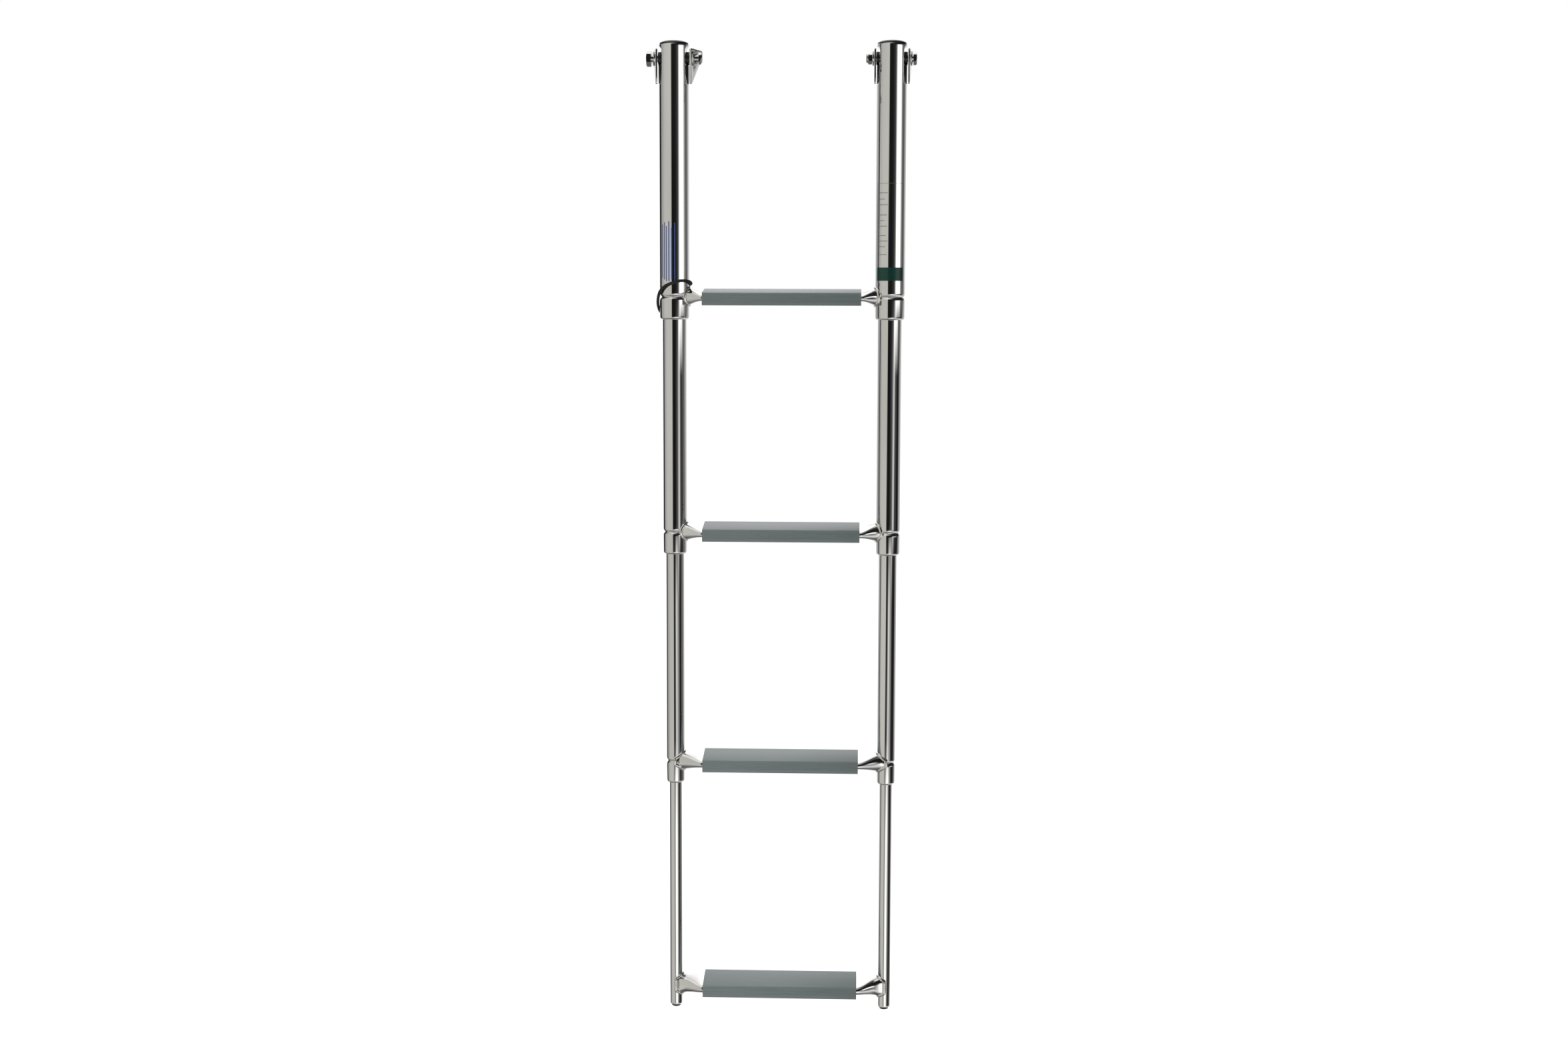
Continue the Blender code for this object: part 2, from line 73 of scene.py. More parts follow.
# Dark pads standing in for the shade in the pressed flats (painted shade), and plugs
PAD_TOP = -8.9 * MM
PAD_END = 1.0 * MM
PAD_HALF = 8.0 * MM
PAD_EDGE = 0.4 * MM
PAD_GAP = 0.15 * MM
PAD_SKIN = 0.1 * MM
PAD_RINGS = 12
PLUG_GAP = 0.3 * MM
PLUG_SEAT = 0.1 * MM
PLUG_RIM = 0.4 * MM
PLUG_FACE = 2.5 * MM
PLUG_CROWN = 0.2 * MM

# Step tubes, welds and treads
TREAD_TILT = math.radians(6.0)
FLAT_DEPTH = 45.0 * MM
FLAT_HEIGHT = (7.5 * MM, 8.0 * MM, 9.0 * MM, 10.5 * MM)
ROOT_HEIGHT = (25.4 * MM, 25.4 * MM, 26.5 * MM, 29.0 * MM)
ROOT_DEPTH = (25.4 * MM, 25.4 * MM, 24.6 * MM, 17.6 * MM)
ROOT_REACH = (14.5 * MM, 10.0 * MM, 5.0 * MM, 4.0 * MM)
STEP_SEGMENTS = 64
STEP_STATIONS = 14
STEP_RISE = 0.5 * MM
STEP_FLAT_LEAD = 1.5 * MM
STEP_FLAT_LAP = 4.0 * MM
SADDLE_ROUNDS = 12
WELD_RADIUS = 2.3 * MM
WELD_FLATNESS = 0.8
WELD_POINTS = 120
WELD_SIDES = 12
TREAD_BREAK = 0.25 * MM
SLOT_GAP = 0.35 * MM
SLOT_OVERRUN = 5.0 * MM

# Section of the tread's front, as (y, z) in millimetres from the step tube's centre
FRONT_TOP = (-25.4, 4.1)
FRONT_NOSE = (-26.1, -5.2)
FRONT_LOW = (-25.1, -9.6)
RIB_START = 1.6
RIB_PITCH = 1.5
RIB_COUNT = 5
RIB_SECTION = ((0.0, 0.0), (0.10, 0.12), (0.22, 0.20), (0.34, 0.20), (0.46, 0.12), (0.56, 0.0))

# Hinge hardware
SPLAY = {"left_outer": 10.0, "left_inner": 20.0, "right_inner": 0.0, "right_outer": 6.0}
SHANK_RADIUS = 4.76 * MM
HEAD_RADIUS = {"left": 10.2 * MM, "right": 8.4 * MM}
HEAD_HEIGHT = {"left": 6.2 * MM, "right": 4.4 * MM}
NUT_RADIUS = 7.6 * MM
WASHER_HOLE = 6.4 * MM
WASHER_THICKNESS = 2.1 * MM
WASHER_EDGE = 0.45 * MM
WASHER_BREAK = 0.1 * MM
EAR_BEVEL = 0.35 * MM
HEX_FACE = 0.93
HEX_SEAT = 0.97
HEX_CORNER = 1.03
HEX_CHAMFER_START = 0.98
HEX_CHAMFER_SLOPE = 0.55
THREAD_LENGTH = 4.0 * MM
THREAD_PITCH = 1.25 * MM
THREAD_DEPTH = 0.55 * MM
THREAD_TURNS = 3
TIP_CHAMFER = 0.8 * MM
NUT_BODY = 0.7
NUT_COLLAR = 0.80
NUT_CROWN = 1.2 * MM
NUT_BORE_GAP = 0.15 * MM
NUT_BORE_BREAK = (0.3 * MM, 0.5 * MM)
SPACER_BORE_GAP = 0.2 * MM
FASTENER_SIDES = 72
WASHER_SIDES = 64

# Elastic loop; heights in millimetres from the groove, evenly spaced round the stile
LOOP_RADIUS = 1.85 * MM
LOOP_GAP = 0.6 * MM
LOOP_POINTS = 144
LOOP_SIDES = 20
LOOP_HEIGHTS = (17.5, 20.0, 20.5, 18.0, 13.5, 5.0, -9.0, -19.5, -16.0, -1.0, 10.5, 15.5)

# Camera and surroundings
CAMERA_PLACE = Vector((0.096, -2.5942, -0.311))
CAMERA_TURN = Euler((math.radians(83.7676), math.radians(-0.18), math.radians(2.0634)), "XYZ")
FOCAL_LENGTH = 45.918
SENSOR_WIDTH = 36.0
FLOOR_GAP = 0.25
FLOOR_HALF = 60.0
FLOOR_GLOW = 0.62
FLAG_FRONT = (-0.27, 0.045)
FLAG_BACK = (-0.24, 0.12)
FLAG_TOP = 0.5
FLAG_EXTRA = 1.0
SOFT_LIGHT = ((0.0, 0.42), (0.5, 0.22), (1.0, 0.72))

# Stickers, wrapped on the top stiles: angles in degrees from the camera side, heights in millimetres
FILM_RADII = (0.02 * MM, 0.10 * MM)
FILM_STEP = 4.0
LABEL_START, LABEL_END = -62.0, 56.0
LABEL_LINE = 1.5
ROW_HEIGHT = 0.7
BAR_WIDTH = 4.0
RIGHT_ROWS = ((-56.0, -12.0, 132.0), (-56.0, -24.0, 124.0), (-48.0, -12.0, 117.0),
              (-56.0, -16.0, 104.0), (-56.0, -26.0, 97.0), (-48.0, -14.0, 90.0),
              (-56.0, -20.0, 78.0), (-56.0, -12.0, 71.0), (-48.0, -22.0, 64.0), (-56.0, -16.0, 54.0))
LEFT_BARS = ((-50.0, 24.0, 92.0), (-39.0, 22.0, 95.0), (-30.0, 20.0, 90.0),
             (-19.0, 20.0, 96.0), (-8.0, 22.0, 88.0), (4.0, 20.0, 94.0))

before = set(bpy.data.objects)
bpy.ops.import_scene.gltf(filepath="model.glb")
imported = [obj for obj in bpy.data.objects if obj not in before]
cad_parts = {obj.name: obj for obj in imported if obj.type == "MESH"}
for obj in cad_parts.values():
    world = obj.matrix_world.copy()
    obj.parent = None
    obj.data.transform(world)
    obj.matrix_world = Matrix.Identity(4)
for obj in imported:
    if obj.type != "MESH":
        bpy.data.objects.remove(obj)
cad_low, cad_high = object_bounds()


def tube_radius(stage):
    """True radius of a stage's stile, from its faceted CAD tube."""
    low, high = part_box(f"stile_{stage + 1}_right")
    return (high.y - low.y) / 2.0 / math.cos(math.pi / CAD_TUBE_SIDES)


def groove_height(stage):
    """Height of a stage's groove, from the lower end of its stile."""
    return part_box(f"stile_{stage + 1}_right")[0].z + RIM_DROP


def stile_place():
    """Distance from the middle of the ladder to a stile's axis."""
    low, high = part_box("stile_1_right")
    return (low.x + high.x) / 2.0


HALF_SPACING = stile_place()
TREAD_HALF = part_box("tread_1")[1].x
RADIUS = [tube_radius(stage) for stage in range(STAGES)]
GROOVE = [groove_height(stage) for stage in range(STAGES)]


# ---------------------------------------------------------------- camera, light and surroundings

def make_camera():
    data = bpy.data.cameras.new("camera")
    data.lens = FOCAL_LENGTH
    data.sensor_width = SENSOR_WIDTH
    camera = bpy.data.objects.new("camera", data)
    camera.location = CAMERA_PLACE
    camera.rotation_euler = CAMERA_TURN
    bpy.context.scene.collection.objects.link(camera)
    bpy.context.scene.camera = camera


def add_ramp(nodes, stops):
    """A colour ramp from (position, grey or colour) stops."""
    ramp = nodes.new("ShaderNodeValToRGB")
    elements = ramp.color_ramp.elements
    while len(elements) > 1:
        elements.remove(elements[-1])
    for i, (position, colour) in enumerate(stops):
        element = elements[0] if i == 0 else elements.new(position)
        element.position = position
        rgb = (colour,) * 3 if isinstance(colour, float) else colour
        element.color = (*rgb, 1.0)
    return ramp


def studio_layers():
    """What polished metal sees round the room, as (rise, stops) layers from high to low.

    Each stop is a compass angle from the camera, in degrees, and a brightness. The left side is a warm
    wall, the camera's side is dark, and a softbox stands low on the right, beside a dark doorway.
    """
    wall = (0.555, 0.550, 0.512)
    left = [(-180, 0.85), (-150, 0.70), (-135, 0.45), (-120, 0.30), (-104, 0.36), (-80, 0.50),
            (-68, wall), (-21, wall)]
    right = [(124, 0.26), (136, 0.48), (150, 0.70), (180, 0.85)]
    ceiling = [(-180, 0.95), (-20, 0.95), (12, 0.45), (50, 0.06), (150, 0.06), (180, 0.95)]
    high = [(-180, 1.50), (-155, 1.10)] + left[2:]
    high += [(-15, 0.015), (20, 0.010), (100, 0.02), (140, 0.03), (160, 0.50), (180, 1.50)]
    softbox = left + [(-15, 0.012), (4, 0.010), (16, 0.016), (26, 0.035), (35, 0.10), (40, 0.42),
                      (45, 1.30), (49, 1.60), (77, 1.50), (82, 0.75), (90, 0.28), (98, 0.14),
                      (112, 0.09)] + right
    edge = left + [(-15, 0.012), (4, 0.008), (14, 0.025), (24, 0.06), (33, 0.15), (40, 0.40),
                   (45, 0.72), (51, 0.60), (57, 0.24), (63, 0.05), (78, 0.045), (86, 0.006),
                   (97, 0.010), (104, 0.06), (112, 0.22), (120, 0.42)] + right[1:]
    low = left + [(-14, 0.03), (-4, 0.015), (1, 0.04), (7, 0.22), (12, 0.50), (17, 0.76),
                  (24, 0.72), (31, 0.46), (39, 0.30), (49, 0.29), (54, 0.10), (60, 0.03),
                  (72, 0.02), (88, 0.006), (97, 0.03), (106, 0.12), (116, 0.30)] + right[1:]
    floor_edge = left[:-1] + [(-27, wall), (-18, 0.20), (-10, 0.34), (-4, 0.62), (3, 1.00),
                              (14, 1.40), (23, 1.30), (32, 0.97), (41, 0.52), (50, 0.20),
                              (60, 0.10), (70, 0.04), (80, 0.012), (92, 0.015), (104, 0.07),
                              (116, 0.17)] + right
    floor = [(-180, 0.6), (-90, 0.42), (0, 0.75), (90, 0.9), (180, 0.6)]
    below = [(-180, 0.10), (180, 0.10)]
    return [(0.92, ceiling), (0.74, high), (0.20, high), (0.13, softbox), (0.0, softbox),
            (-0.035, edge), (-0.11, edge), (-0.15, low), (-0.215, low), (-0.26, floor_edge),
            (-0.36, floor_edge), (-0.62, floor), (-0.95, below)]


def mix_colours(nodes, links, factor, first, second):
    """Blend of two colour sockets; second may be a plain colour."""
    mix = nodes.new("ShaderNodeMix")
    mix.data_type = "RGBA"
    links.new(factor, mix.inputs["Factor"])
    links.new(first, mix.inputs["A"])
    if isinstance(second, tuple):
        mix.inputs["B"].default_value = second
    else:
        links.new(second, mix.inputs["B"])
    return mix.outputs["Result"]


def fade(nodes, links, split, panels, layer, above, rise):
    """Blends from the panels above to the next layer down, between two rises."""
    share = nodes.new("ShaderNodeMapRange")
    share.inputs["From Min"].default_value = above
    share.inputs["From Max"].default_value = rise
    links.new(split.outputs["Z"], share.inputs["Value"])
    return mix_colours(nodes, links, share.outputs[0], panels, layer)


def make_world():
    """White to the eye, soft light for matt surfaces, and upright studio panels for polished ones."""
    world = bpy.data.worlds.new("studio")
    bpy.context.scene.world = world
    world.use_nodes = True
    nodes, links = world.node_tree.nodes, world.node_tree.links
    nodes.clear()
    place = nodes.new("ShaderNodeTexCoord")
    split = nodes.new("ShaderNodeSeparateXYZ")
    links.new(place.outputs["Generated"], split.inputs[0])
    turn = nodes.new("ShaderNodeMath")
    turn.operation = "MULTIPLY"
    turn.inputs[1].default_value = -1.0
    links.new(split.outputs["Y"], turn.inputs[0])
    angle = nodes.new("ShaderNodeMath")
    angle.operation = "ARCTAN2"
    links.new(split.outputs["X"], angle.inputs[0])
    links.new(turn.outputs[0], angle.inputs[1])
    share = nodes.new("ShaderNodeMapRange")
    share.inputs["From Min"].default_value = -math.pi
    share.inputs["From Max"].default_value = math.pi
    links.new(angle.outputs[0], share.inputs["Value"])
    panels = None
    above = None
    for rise, stops in studio_layers():
        ramp = add_ramp(nodes, [((turned_to + 180.0) / 360.0, glow) for turned_to, glow in stops])
        links.new(share.outputs[0], ramp.inputs[0])
        layer = ramp.outputs["Color"]
        panels = layer if panels is None else fade(nodes, links, split, panels, layer, above, rise)
        above = rise
    soft = add_ramp(nodes, SOFT_LIGHT)
    height = nodes.new("ShaderNodeMapRange")
    height.inputs["From Min"].default_value = -1.0
    links.new(split.outputs["Z"], height.inputs["Value"])
    links.new(height.outputs[0], soft.inputs[0])
    kind = nodes.new("ShaderNodeLightPath")
    light = mix_colours(nodes, links, kind.outputs["Is Glossy Ray"], soft.outputs["Color"], panels)
    seen = mix_colours(nodes, links, kind.outputs["Is Camera Ray"], light, (1.0, 1.0, 1.0, 1.0))
    background = nodes.new("ShaderNodeBackground")
    links.new(seen, background.inputs["Color"])
    output = nodes.new("ShaderNodeOutputWorld")
    links.new(background.outputs[0], output.inputs["Surface"])


def make_softbox(name, place, size, power):
    """Large soft light aimed at the middle of the ladder, kept out of the reflections."""
    data = bpy.data.lights.new(name, "AREA")
    data.size = size
    data.energy = power
    light = bpy.data.objects.new(name, data)
    light.location = place
    aim = Vector((0.0, 0.0, (cad_low.z + cad_high.z) / 2.0)) - light.location
    light.rotation_euler = aim.to_track_quat("-Z", "Y").to_euler()
    light.visible_glossy = False
    light.visible_camera = False
    bpy.context.scene.collection.objects.link(light)


def make_flag():
    """Narrow dark board beside the left stile, seen only in reflections."""
    bm = bmesh.new()
    foot = FLAG_TOP - (cad_high.z - cad_low.z + FLAG_EXTRA)
    corners = ((*FLAG_FRONT, FLAG_TOP), (*FLAG_BACK, FLAG_TOP), (*FLAG_BACK, foot), (*FLAG_FRONT, foot))
    bm.faces.new([bm.verts.new(corner) for corner in corners])
    flag = link_mesh("flag", bm)
    flag.data.materials.append(matt_paint("dark_board", 0.03)[0])
    flag.visible_camera = False
    flag.visible_diffuse = False
    flag.visible_shadow = False


def make_floor():
    """Plain pale floor below the hanging ladder."""
    bm = bmesh.new()
    bmesh.ops.create_grid(bm, x_segments=2, y_segments=2, size=FLOOR_HALF)
    material, shader = matt_paint("pale_floor", 0.9)
    shader.inputs["Emission Color"].default_value = (1.0, 1.0, 1.0, 1.0)
    shader.inputs["Emission Strength"].default_value = FLOOR_GLOW
    floor = link_mesh("floor", bm)
    floor.data.materials.append(material)
    floor.location.z = cad_low.z - FLOOR_GAP
    floor.visible_glossy = False
    floor.visible_diffuse = False


# ---------------------------------------------------------------- materials

def new_material(name):
    material = bpy.data.materials.new(name)
    material.use_nodes = True
    nodes, links = material.node_tree.nodes, material.node_tree.links
    return material, nodes, links, nodes["Principled BSDF"]


def matt_paint(name, grey):
    """Plain matt grey for the surroundings, as (material, shader)."""
    material, _, _, shader = new_material(name)
    shader.inputs["Base Color"].default_value = (grey, grey, grey, 1.0)
    shader.inputs["Roughness"].default_value = 0.9
    return material, shader


def object_noise(nodes, links, scale, stretch=(1.0, 1.0, 1.0), detail=3.0):
    """Noise fixed to the object, stretched along its axes."""
    place = nodes.new("ShaderNodeTexCoord")
    mapping = nodes.new("ShaderNodeMapping")
    mapping.inputs["Scale"].default_value = stretch
    links.new(place.outputs["Object"], mapping.inputs["Vector"])
    grain = nodes.new("ShaderNodeTexNoise")
    grain.inputs["Scale"].default_value = scale
    grain.inputs["Detail"].default_value = detail
    links.new(mapping.outputs[0], grain.inputs["Vector"])
    return grain


def vary_roughness(nodes, links, shader, socket, low, high):
    """Roughness that wanders between two values with a 0 to 1 socket."""
    span = nodes.new("ShaderNodeMapRange")
    span.inputs["To Min"].default_value = low
    span.inputs["To Max"].default_value = high
    links.new(socket, span.inputs["Value"])
    links.new(span.outputs[0], shader.inputs["Roughness"])


def add_bump(nodes, links, shader, socket, distance, strength):
    bump = nodes.new("ShaderNodeBump")
    bump.inputs["Distance"].default_value = distance
    bump.inputs["Strength"].default_value = strength
    links.new(socket, bump.inputs["Height"])
    links.new(bump.outputs[0], shader.inputs["Normal"])


def tint(nodes, links, shader, socket, dark, light):
    """Colour that wanders between two tones."""
    ramp = add_ramp(nodes, [(0.3, dark), (0.7, light)])
    links.new(socket, ramp.inputs[0])
    links.new(ramp.outputs["Color"], shader.inputs["Base Color"])


def polished_steel(name, stretch, low, high):
    """Polished stainless steel with faint buffing along the piece, and its range of roughness."""
    material, nodes, links, shader = new_material(name)
    shader.inputs["Metallic"].default_value = 1.0
    haze = object_noise(nodes, links, scale=60.0, stretch=stretch)
    tint(nodes, links, shader, haze.outputs["Fac"], (0.80, 0.79, 0.77), (0.90, 0.895, 0.88))
    vary_roughness(nodes, links, shader, haze.outputs["Fac"], low, high)
    buffing = object_noise(nodes, links, scale=900.0, stretch=stretch, detail=2.0)
    add_bump(nodes, links, shader, buffing.outputs["Fac"], distance=0.001 * MM, strength=0.3)
    return material


def weld_steel():
    """Bright weld bead, a little rougher and straw-tinted."""
    material, nodes, links, shader = new_material("weld_steel")
    shader.inputs["Metallic"].default_value = 1.0
    patch = object_noise(nodes, links, scale=300.0)
    tint(nodes, links, shader, patch.outputs["Fac"], (0.78, 0.74, 0.66), (0.95, 0.94, 0.92))
    vary_roughness(nodes, links, shader, patch.outputs["Fac"], low=0.12, high=0.24)
    add_bump(nodes, links, shader, patch.outputs["Fac"], distance=0.01 * MM, strength=0.5)
    return material


def satin_steel():
    """Fasteners: turned and lightly tumbled stainless steel."""
    material, nodes, links, shader = new_material("satin_steel")
    shader.inputs["Metallic"].default_value = 1.0
    wear = object_noise(nodes, links, scale=420.0)
    tint(nodes, links, shader, wear.outputs["Fac"], (0.60, 0.60, 0.59), (0.82, 0.82, 0.80))
    vary_roughness(nodes, links, shader, wear.outputs["Fac"], low=0.08, high=0.20)
    add_bump(nodes, links, shader, wear.outputs["Fac"], distance=0.01 * MM, strength=0.5)
    return material


def tread_plastic():
    """Extruded grey plastic: fine grain drawn along the tread, with paler scuffs."""
    material, nodes, links, shader = new_material("tread_plastic")
    drawn = object_noise(nodes, links, scale=900.0, stretch=(0.03, 1.0, 1.0), detail=4.0)
    speckle = object_noise(nodes, links, scale=2600.0)
    blend = nodes.new("ShaderNodeMix")
    blend.data_type = "FLOAT"
    blend.inputs["Factor"].default_value = 0.45
    links.new(drawn.outputs["Fac"], blend.inputs["A"])
    links.new(speckle.outputs["Fac"], blend.inputs["B"])
    tint(nodes, links, shader, blend.outputs["Result"], (0.188, 0.228, 0.230), (0.256, 0.298, 0.298))
    vary_roughness(nodes, links, shader, speckle.outputs["Fac"], low=0.30, high=0.44)
    add_bump(nodes, links, shader, blend.outputs["Result"], distance=0.05 * MM, strength=0.7)
    return material


def moulded_plastic(name, dark, light, roughness):
    """Moulded plastic with a fine spark-eroded grain."""
    material, nodes, links, shader = new_material(name)
    grain = object_noise(nodes, links, scale=1500.0)
    tint(nodes, links, shader, grain.outputs["Fac"], dark, light)
    vary_roughness(nodes, links, shader, grain.outputs["Fac"], low=roughness, high=roughness + 0.12)
    add_bump(nodes, links, shader, grain.outputs["Fac"], distance=0.02 * MM, strength=0.5)
    return material


def braided_elastic():
    """Black elastic cord with a fine braided cover."""
    material, nodes, links, shader = new_material("braided_elastic")
    place = nodes.new("ShaderNodeTexCoord")
    weave = nodes.new("ShaderNodeTexVoronoi")
    weave.inputs["Scale"].default_value = 1400.0
    links.new(place.outputs["Object"], weave.inputs["Vector"])
    tint(nodes, links, shader, weave.outputs["Distance"], (0.006, 0.006, 0.007), (0.020, 0.020, 0.022))
    shader.inputs["Roughness"].default_value = 0.62
    shader.inputs["Sheen Weight"].default_value = 0.05
    add_bump(nodes, links, shader, weave.outputs["Distance"], distance=0.12 * MM, strength=0.8)
    return material


def printed_film(name, dark, light):
    """Thin printed sticker with a slight unevenness in the ink."""
    material, nodes, links, shader = new_material(name)
    ink = object_noise(nodes, links, scale=800.0)
    tint(nodes, links, shader, ink.outputs["Fac"], dark, light)
    vary_roughness(nodes, links, shader, ink.outputs["Fac"], low=0.22, high=0.34)
    return material


def make_materials():
    along = (1.0, 1.0, 0.06)
    across = (0.06, 1.0, 1.0)
    even = (1.0, 1.0, 1.0)
    return {
        "tube": polished_steel("polished_tube", along, low=0.012, high=0.035),
        "step": polished_steel("polished_step", across, low=0.02, high=0.06),
        "plate": polished_steel("polished_plate", even, low=0.05, high=0.11),
        "weld": weld_steel(),
        "satin": satin_steel(),
        "tread": tread_plastic(),
        "black": moulded_plastic("black_plastic", (0.008, 0.008, 0.009), (0.018, 0.018, 0.019), 0.28),
        "bush": moulded_plastic("bush_plastic", (0.42, 0.42, 0.41), (0.52, 0.52, 0.51), 0.42),
        "elastic": braided_elastic(),
        "green": printed_film("green_film", (0.002, 0.042, 0.030), (0.004, 0.062, 0.045)),
        "blue": printed_film("blue_film", (0.05, 0.10, 0.40), (0.08, 0.15, 0.50)),
        "ink": printed_film("grey_film", (0.12, 0.12, 0.12), (0.20, 0.20, 0.20)),
    }


# ---------------------------------------------------------------- mesh helpers

def link_mesh(name, bm):
    """Puts a bmesh into the scene as an object."""
    mesh = bpy.data.meshes.new(name)
    bm.to_mesh(mesh)
    bm.free()
    made = bpy.data.objects.new(name, mesh)
    bpy.context.scene.collection.objects.link(made)
    return made


def add_piece(name, bm, material, body, replaced=(), sharp=40.0):
    """Turns a bmesh in frame coordinates into a piece that rides on a body."""
    bmesh.ops.recalc_face_normals(bm, faces=bm.faces[:])
    piece = link_mesh(name, bm)
    piece.data.materials.append(material)
    piece.data.shade_smooth()
    piece.data.set_sharp_from_angle(angle=math.radians(sharp))
    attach(piece, body)
    if replaced:
        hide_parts(*replaced)
    return piece


def bridge(bm, ring, following):
    """Band of faces between two rings of as many points."""
    count = len(ring)
    for i in range(count):
        j = (i + 1) % count
        bm.faces.new((ring[i], ring[j], following[j], following[i]))


def loft(bm, rings):
    """Skin over a row of rings, open at both ends."""
    for ring, following in zip(rings, rings[1:]):
        bridge(bm, ring, following)


def cap(bm, rings):
    """Flat faces over the first and last rings."""
    bm.faces.new(rings[0])
    bm.faces.new(rings[-1])


def round_ring(bm, radius, z, segments, offset=0.0):
    """Ring of points round Z; offset is a share of one segment."""
    angles = [2.0 * math.pi * (i + offset) / segments for i in range(segments)]
    return [bm.verts.new((radius * math.cos(a), radius * math.sin(a), z)) for a in angles]


def turned(profile, segments=TUBE_SEGMENTS, closed=True):
    """Turns (radius, height) points about Z: a hollow ring, or a solid with flat ends."""
    bm = bmesh.new()
    rings = [round_ring(bm, radius, height, segments, 0.5) for radius, height in profile]
    loft(bm, rings)
    if closed:
        bridge(bm, rings[-1], rings[0])
    else:
        cap(bm, rings)
    return bm


def shift(bm, place):
    bmesh.ops.translate(bm, verts=bm.verts[:], vec=place)
    return bm


def arc(centre, radius, start, end, steps):
    """Points on an arc in the profile plane, angles in degrees."""
    angles = [math.radians(start + (end - start) * i / steps) for i in range(steps + 1)]
    return [(centre[0] + radius * math.cos(a), centre[1] + radius * math.sin(a)) for a in angles]


def carve(piece, cutter_bm):
    """Cuts a shape out of a piece and keeps the result as its mesh."""
    bmesh.ops.recalc_face_normals(cutter_bm, faces=cutter_bm.faces[:])
    cutter = link_mesh("cutter", cutter_bm)
    modifier = piece.modifiers.new("carve", "BOOLEAN")
    modifier.solver = "EXACT"
    modifier.object = cutter
    graph = bpy.context.evaluated_depsgraph_get()
    carved = bpy.data.meshes.new_from_object(piece.evaluated_get(graph))
    piece.modifiers.clear()
    piece.data = carved
    bpy.data.objects.remove(cutter, do_unlink=True)


# ---------------------------------------------------------------- stiles

def groove_points(radius, depth, half, steps=8):
    """Rolled V groove with rounded shoulders, from its upper shoulder to its lower one."""
    points = []
    for i in range(-steps, steps + 1):
        reach = abs(i) / steps
        points.append((radius - depth * (1.0 - math.sin(reach * math.pi / 2.0)), -half * i / steps))
    return points


def rim_points(radius, roll):
    """Rolled-in lower end, from the tube's side to its opening."""
    return arc((radius, -RIM_DROP + ROLL_RADIUS), roll, 0.0, -90.0, 10)


def stile_profile(stage, top):
    """Closed outline of a stile's wall, down its outer side and up its inner side."""
    outer = RADIUS[stage]
    inner = outer - WALL
    centre = outer - ROLL_RADIUS
    down = []
    up = []
    if stage == 0:
        down += arc((outer - TOP_EDGE_RADIUS, top - TOP_EDGE_RADIUS), TOP_EDGE_RADIUS, 60.0, 0.0, 4)
        fall = FLAT_ABOVE + FLAT_BELOW
        rises = [FLAT_ABOVE - fall * i / FLAT_RINGS for i in range(FLAT_RINGS + 1)]
        heights = [-GROOVE[0] + rise for rise in rises]
        down += [(outer, height) for height in heights]
        up += [(inner, height) for height in reversed(heights)]
    else:
        down.append((outer, top))
        heights = [top]
    up.append((inner, top))
    rim = -RIM_DROP + ROLL_RADIUS
    if stage < STAGES - 1:
        down += straight(outer, heights[-1], GROOVE_HALF)
        down += groove_points(outer, GROOVE_DEPTH, GROOVE_HALF)
        down += straight(outer, -GROOVE_HALF, rim)
        up = list(reversed(groove_points(inner, GROOVE_DEPTH, GROOVE_HALF, 3))) + up
    else:
        down += straight(outer, heights[-1], rim)
    down += rim_points(centre, ROLL_RADIUS)
    return down + list(reversed(rim_points(centre, ROLL_RADIUS - WALL))) + up


def straight(radius, start, end):
    """Rings down a plain length of tube, close together at its ends to keep its shading flat."""
    rings = max(1, int((start - end) / RING_SPACING))
    heights = [start + (end - start) * i / rings for i in range(1, rings)]
    for gap in SUPPORT_GAPS:
        heights += [start - gap, end + gap]
    return [(radius, height) for height in sorted(heights, reverse=True)]


def soft_limit(value, limit):
    """The smaller of two lengths, with a rounded change between them."""
    lesser = min(value, limit)
    shares = math.exp((lesser - value) / FLAT_SOFTNESS) + math.exp((lesser - limit) / FLAT_SOFTNESS)
    return lesser - FLAT_SOFTNESS * math.log(shares)


def taper_collar(bm, stage):
    """Draws a stile in a little towards its rolled rim."""
    for vert in bm.verts:
        below = (-GROOVE_HALF - vert.co.z) / (RIM_DROP - GROOVE_HALF)
        if below > 0.0:
            share = 1.0 - COLLAR_TAPER / RADIUS[stage] * below ** 2
            vert.co.x *= share
            vert.co.y *= share


def press_flats(bm):
    """Presses both sides of a top stile in to an oval flat round the hinge bolt."""
    for vert in bm.verts:
        rise = vert.co.z + GROOVE[0]
        reach = FLAT_ABOVE if rise > 0.0 else FLAT_BELOW
        if abs(rise) < reach:
            limit = math.hypot(vert.co.x, vert.co.y) - flat_depth(rise)
            vert.co.x = math.copysign(soft_limit(abs(vert.co.x), limit), vert.co.x)


def make_stile(stage, side, label, materials):
    node = f"stile_{stage + 1}_{label}"
    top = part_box(node)[1].z - GROOVE[stage]
    bm = turned(stile_profile(stage, top))
    taper_collar(bm, stage)
    if stage == 0:
        press_flats(bm)
    shift(bm, (side * HALF_SPACING, 0.0, GROOVE[stage]))
    body = f"stage_{stage + 1}"
    add_piece(f"tube_{stage + 1}_{label}", bm, materials["tube"], body, [node])


def flat_depth(rise):
    """How far a top stile is pressed in at a height above the hinge axis."""
    reach = FLAT_ABOVE if rise > 0.0 else FLAT_BELOW
    beyond = max(0.0, abs(rise) - FLAT_FULL) / (reach - FLAT_FULL)
    return (RADIUS[0] - FLAT_HALF_WIDTH) * math.sqrt(max(0.0, 1.0 - beyond ** 2))


